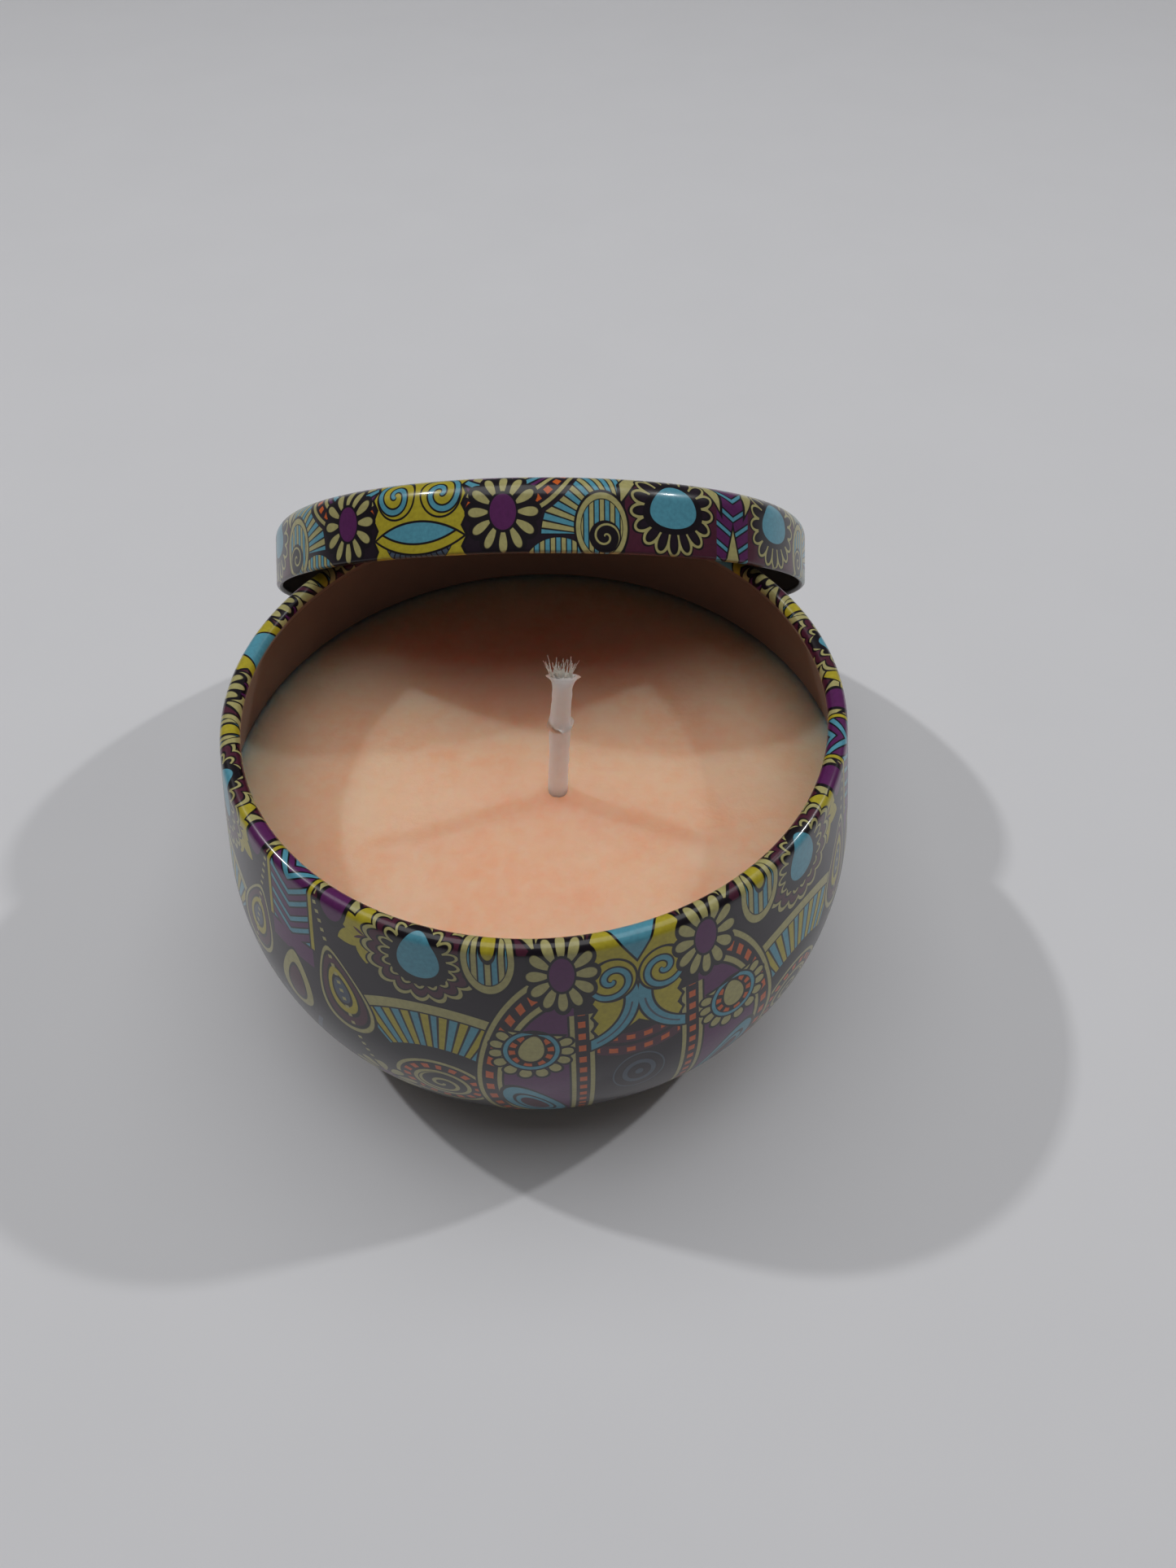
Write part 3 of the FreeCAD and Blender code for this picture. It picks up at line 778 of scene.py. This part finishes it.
tinplate = mottled(
    "tinplate", tone(176, 176, 178), tone(200, 199, 198), 3.0, 0.01, metallic=1.0, roughness=0.32
)
taupe = mottled("inner_lacquer", tone(126, 110, 100), tone(140, 122, 110), 4.0, 0.01, roughness=0.42)

under = bowl_base(0)
flank = joined(bowl_side(0), arc(CURL_CENTRE, CURL_RADIUS, RIM_ANGLE, 180, 0.16))
bowl_runs = [
    (1, under),
    (0, flank),
    (2, arc(CURL_CENTRE, CURL_RADIUS, 180, CURL_END, 0.16)),
    (2, arc(CURL_CENTRE, CURL_RADIUS - SHEET, CURL_END, RIM_ANGLE, 0.16)),
    (2, bowl_side(SHEET)[::-1]),
    (2, bowl_base(1)[::-1]),
]
bowl = lathe(
    "printed_bowl",
    bowl_runs,
    [printed_tin("bowl_print", BOWL_PRINT_TURN, bowl_print), tinplate, taupe],
    zero=length(under) + length(flank),
    sense=-1,
)
stand_in_for(bowl, "tin", "tin_body")

# ================================================================ lid

# Lid's inside and hem: the bowl's inner lacquer tone darkened by about a third, as painted shade for the
# lid's shadowed hollow.
lid_lacquer_painted_shade = mottled("lid_lacquer_painted_shade", tone(84, 74, 68), tone(98, 86, 78), 4.0, 0.01, roughness=0.4)
lid_inside = joined(lid_shell(LID_SHEET)[::-1])
hem_inside = arc(HEM_CENTRE, HEM_RADIUS - LID_SHEET, 360, HEM_START, 0.1)
hem_outside = arc(HEM_CENTRE, HEM_RADIUS, HEM_START, 270, 0.1)
lid_runs = [
    (1, lid_inside),
    (1, hem_inside),
    (1, hem_outside),
    (0, arc(HEM_CENTRE, HEM_RADIUS, 270, 360, 0.1)),
    (0, lid_shell(0)),
]
hem_height = (LID_RADIUS - HEM_RADIUS) * math.sin(LID_TILT) + HEM_RADIUS * (1 - math.cos(LID_TILT))
lid_place = (
    Matrix.Rotation(LID_YAW, 4, "Z")
    @ Matrix.Translation((0, LID_REACH, TABLE_GAP + hem_height))
    @ Matrix.Rotation(-LID_TILT, 4, "X")
)
lid_middle = length(arc(HEM_CENTRE, HEM_RADIUS, 270, 360, 0.1)) + length(lid_shell(0))


def whole_lid_print(paint, x, v):
    lid_print(paint, x, v)
    lid_top_print(paint, x, v, lid_middle)


lid = lathe(
    "printed_lid",
    lid_runs,
    [printed_tin("lid_print", LID_PRINT_TURN, whole_lid_print), lid_lacquer_painted_shade],
    zero=length(lid_inside) + length(joined(hem_inside, hem_outside)),
    place=lid_place,
)
stand_in_for(lid, "lid", "tin_lid")

# ================================================================ wax

WICK_WAY = Matrix.Rotation(WICK_LEAN_WAY, 3, "Z") @ Vector((math.sin(WICK_LEAN), 0, math.cos(WICK_LEAN)))
WICK_AT_WAX = WICK_FOOT + WICK_WAY * ((WAX_LEVEL - SHEET) / WICK_WAY.z)
WAX_RADIUS = wall_inside(WAX_LEVEL) - WAX_GAP


def settle(point):
    """The poured top: drawn up at the wall and the wick, with shallow lumps between."""
    if point.z < WAX_LEVEL - 0.01:
        return point
    edge = WAX_RADIUS - math.hypot(point.x, point.y)
    wick = math.hypot(point.x - WICK_AT_WAX.x, point.y - WICK_AT_WAX.y)
    flat = Vector((point.x, point.y, 0))
    lumps = 0.34 * noise.noise(flat * 0.075) + 0.10 * noise.noise(flat * 0.3 + UP * 9)
    rise = 0.45 * math.exp(-edge / 0.9) + 0.75 * math.exp(-max(0, wick - 1.3) / 0.8)
    hollow = 0.15 * math.exp(-((wick - 7.5) / 3.5) ** 2)
    return point + UP * (rise - hollow + lumps * min(1, edge / 4))


def wax_material():
    """Frosted peach wax: light spreads in it, and its skin is paler in soft patches."""
    material, tree, shader = new_material(
        "peach_wax",
        roughness=0.5,
        specular_ior_level=0.35,
        subsurface_weight=1.0,
        subsurface_scale=0.022,
        coat_weight=0.08,
        coat_roughness=0.35,
    )
    shader.inputs["Subsurface Radius"].default_value = (1.0, 0.5, 0.32)
    frost = grain(tree, 11.0, 3.0).math("MULTIPLY_ADD", 3.4, -1.3, clamp=True)
    specks = grain(tree, 1.8, 7.0).math("MULTIPLY_ADD", 3.0, -1.0, clamp=True)
    skin = blend(frost, tone(255, 182, 145), tone(254, 196, 163))
    tree.links.new(blend(specks * 0.5, skin, tone(255, 203, 172)), shader.inputs["Base Color"])
    rough_up(shader, grain(tree, 1.8, 6.0), 0.16)
    return material


wax_side = [p for p in bowl_side(SHEET + WAX_GAP) if p[1] < WAX_LEVEL - 0.3]
wax_top = straight((WAX_RADIUS, WAX_LEVEL), (0, WAX_LEVEL), 0.4)
wax_floor = [(radius, height + WAX_GAP) for radius, height in bowl_base(1)]
wax = lathe(
    "poured_wax",
    [(0, wax_floor), (0, joined(wax_side, wax_top))],
    [wax_material()],
    segments=240,
    shape=settle,
)
stand_in_for(wax, "tin", "wax_fill")

# ================================================================ wick

WICK_SIDE = WICK_WAY.cross(Vector((0, 1, 0))).normalized() * -1
WICK_BACK = WICK_WAY.cross(WICK_SIDE).normalized()


def on_wick(along, side=0.0, back=0.0):
    """A point by its way up the wick and its offsets to the right and to the back."""
    return WICK_FOOT + WICK_WAY * along + WICK_SIDE * side + WICK_BACK * back


def sweep(path, radius_at, sides):
    """Rings of points round a path; radius_at(number of the point, angle) is the ring's shape."""
    rings = []
    for k, point in enumerate(path):
        ahead = (path[min(k + 1, len(path) - 1)] - path[max(k - 1, 0)]).normalized()
        side = WICK_BACK.cross(ahead).normalized()
        back = ahead.cross(side)
        angles = [TURN * i / sides for i in range(sides)]
        rings.append([point + (side * math.cos(a) + back * math.sin(a)) * radius_at(k, a) for a in angles])
    return rings


def skin(rings, first):
    """Faces over rings numbered from first, capped with a flat face at each end."""
    sides = len(rings[0])
    faces = []
    for k in range(len(rings) - 1):
        for i in range(sides):
            j = (i + 1) % sides
            a, b = first + k * sides, first + (k + 1) * sides
            faces.append((a + i, a + j, b + j, b + i))
    last = first + (len(rings) - 1) * sides
    faces.append(tuple(first + i for i in range(sides))[::-1])
    faces.append(tuple(last + i for i in range(sides)))
    return faces


def make_strands(name, paths, radius_at, sides, material):
    """One piece of several closed strands."""
    vertices, faces = [], []
    for number, path in enumerate(paths):
        rings = sweep(path, lambda k, a: radius_at(number, k / (len(path) - 1)), sides)
        faces += skin(rings, len(vertices))
        vertices += [v for ring in rings for v in ring]
    return make_piece(name, vertices, faces, [material])


def plait(number, count=3, pitch=5.2, wide=0.4):
    """The path of one strand of the braid, which opens out sideways at the top."""
    steps = 150
    path = []
    for i in range(steps + 1):
        along = BRAID_FROM + (BRAID_TO - BRAID_FROM) * i / steps
        phase = TURN * (along / pitch + number / count)
        spread = 1 + 0.6 * math.exp((along - BRAID_TO) / 1.2)
        side = wide * spread * math.sin(phase)
        path.append(on_wick(along, side, wide * 0.55 / spread * math.sin(2 * phase)))
    return path


def fibre(shortest, longest, splay):
    """A loose end of cotton standing out of the flattened top of the braid."""
    side = rng.uniform(-1.25, 1.25)
    back = rng.uniform(-0.35, 0.4)
    reach = rng.uniform(shortest, longest)
    lean = splay * (side * rng.uniform(0.1, 0.6) + rng.uniform(-0.3, 0.3))
    droop = splay * rng.uniform(-0.5, 0.5)
    curl = splay * rng.uniform(-0.3, 0.3)
    path = []
    for i in range(9):
        t = i / 8
        path.append(on_wick(COAT_TO - 0.5 + reach * t, side + lean * t + curl * t ** 3, back + droop * t * t))
    return path


def jacket_rings(first, last, outer, step, lean=0.0):
    """Rings of the jacket between two lengths; outer(along, angle) is its outside."""
    count = max(4, round((last - first) / step))
    levels = [first + (last - first) * i / count for i in range(count + 1)]
    path = [on_wick(along, lean * (along - first)) for along in levels]
    return sweep(path, lambda k, a: outer(levels[k], a), JACKET_SIDES)


def ripple(along, angle, size, wave):
    """Soft unevenness round and along the jacket."""
    point = Vector((math.cos(angle), math.sin(angle), along / wave))
    return size * noise.noise(point * 1.7)


def oval_radius(angle, side, back):
    """Radius of an oval with half sizes side and back."""
    return 1 / math.hypot(math.cos(angle) / side, math.sin(angle) / back)


def lower_jacket(along, angle):
    """Outside of the lower jacket, swollen and ragged under the break."""
    near = math.exp(-((along - COAT_BREAK) / 0.8) ** 2)
    ragged = 0.16 * noise.noise(Vector((math.cos(angle) * 2, math.sin(angle) * 2, along)))
    return 1.29 + ripple(along, angle, 0.10, 3.0) + near * (0.17 + 0.15 * math.cos(angle - 0.3) + ragged)


def lip(along):
    """0 on the jacket, rising to 1 at the crest of its lip."""
    return math.exp(-max(0, COAT_TO - along) / 0.5)


def upper_jacket(along, angle):
    """Outside of the upper jacket: a skirt over the break and a lip pressed flat from front and back."""
    skirt = 0.34 * math.exp(-max(0, along - COAT_BREAK + FOLD_BELOW) / 1.1) * (0.7 - 0.6 * math.cos(angle))
    ragged = 1 + 0.28 * lip(along) * noise.noise(Vector((math.cos(angle) * 2, math.sin(angle) * 2, 5)))
    shape = oval_radius(angle, 1.2 + 0.95 * lip(along), 1.18 - 0.6 * lip(along))
    return shape * ragged + ripple(along, angle, 0.09, 2.4) + skirt


def jacket_material():
    """Clear white wax soaked into the wick."""
    material, tree, shader = new_material(
        "wick_wax",
        roughness=0.38,
        subsurface_weight=1.0,
        subsurface_scale=0.008,
        coat_weight=0.15,
        coat_roughness=0.25,
    )
    shader.inputs["Subsurface Radius"].default_value = (1.0, 0.95, 0.9)
    cloud = grain(tree, 1.4, 4.0).math("MULTIPLY_ADD", 1.8, -0.4, clamp=True)
    tree.links.new(blend(cloud, tone(250, 245, 240), tone(254, 252, 250)), shader.inputs["Base Color"])
    rough_up(shader, grain(tree, 0.6, 4.0), 0.05)
    return material


def cotton_material():
    """White cotton that lets some light through."""
    material, tree, shader = new_material("cotton", roughness=0.7, sheen_weight=0.2)
    colour = blend(grain(tree, 0.4), tone(246, 243, 236), tone(254, 253, 250))
    glow = tree.nodes.new("ShaderNodeBsdfTranslucent")
    both = tree.nodes.new("ShaderNodeMixShader")
    both.inputs[0].default_value = 0.5
    tree.links.new(colour, shader.inputs["Base Color"])
    tree.links.new(colour, glow.inputs["Color"])
    tree.links.new(shader.outputs[0], both.inputs[1])
    tree.links.new(glow.outputs[0], both.inputs[2])
    tree.links.new(both.outputs[0], tree.nodes["Material Output"].inputs["Surface"])
    return material


cotton = cotton_material()
braid = make_strands("braid_strands", [plait(k) for k in range(3)], lambda n, t: 0.34, 12, cotton)
stand_in_for(braid, "tin", "wick_braid")
stubs = [fibre(0.8, 1.7, 0.7) for _ in range(STUBS)]
wisps = [fibre(1.9, 3.4, 1.1) for _ in range(WISPS)]
thickness = [rng.uniform(0.05, 0.09) for _ in stubs] + [rng.uniform(0.035, 0.06) for _ in wisps]
fray = make_strands("braid_fray", stubs + wisps, lambda n, t: thickness[n] * (1 - 0.6 * t), 6, cotton)
stand_in_for(fray, "tin", "wick_braid")
# The upper jacket's rings start below the lower one's last, which makes the fold at the break.
rings = jacket_rings(COAT_FROM, COAT_BREAK + FOLD_ABOVE, lower_jacket, 0.25)
rings += jacket_rings(COAT_BREAK - FOLD_BELOW, COAT_TO, upper_jacket, 0.14, 0.02)
jacket = make_piece("wick_jacket", [v for ring in rings for v in ring], skin(rings, 0), [jacket_material()])
stand_in_for(jacket, "tin", "wick_wax_coat")

# ================================================================ CAD pieces kept as they are

kept = {
    "wick_sustainer": mottled(
        "sustainer_metal", tone(170, 172, 176), tone(198, 199, 202), 2.0, 0.01, metallic=1.0, roughness=0.35
    ),
    "wick_sticker": mottled("foam", tone(226, 226, 222), tone(240, 240, 238), 0.5, 0.03, roughness=0.9),
}
for node, material in kept.items():
    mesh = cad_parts[node].data
    mesh.materials.clear()
    mesh.materials.append(material)

# ================================================================ floor

floor = make_piece(
    "floor",
    [(-3000, -3000, 0), (3000, -3000, 0), (3000, 3000, 0), (-3000, 3000, 0)],
    [(0, 1, 2, 3)],
    [mottled("paper", tone(217, 217, 220), tone(221, 221, 224), 30.0, 0.01, roughness=0.75)],
)
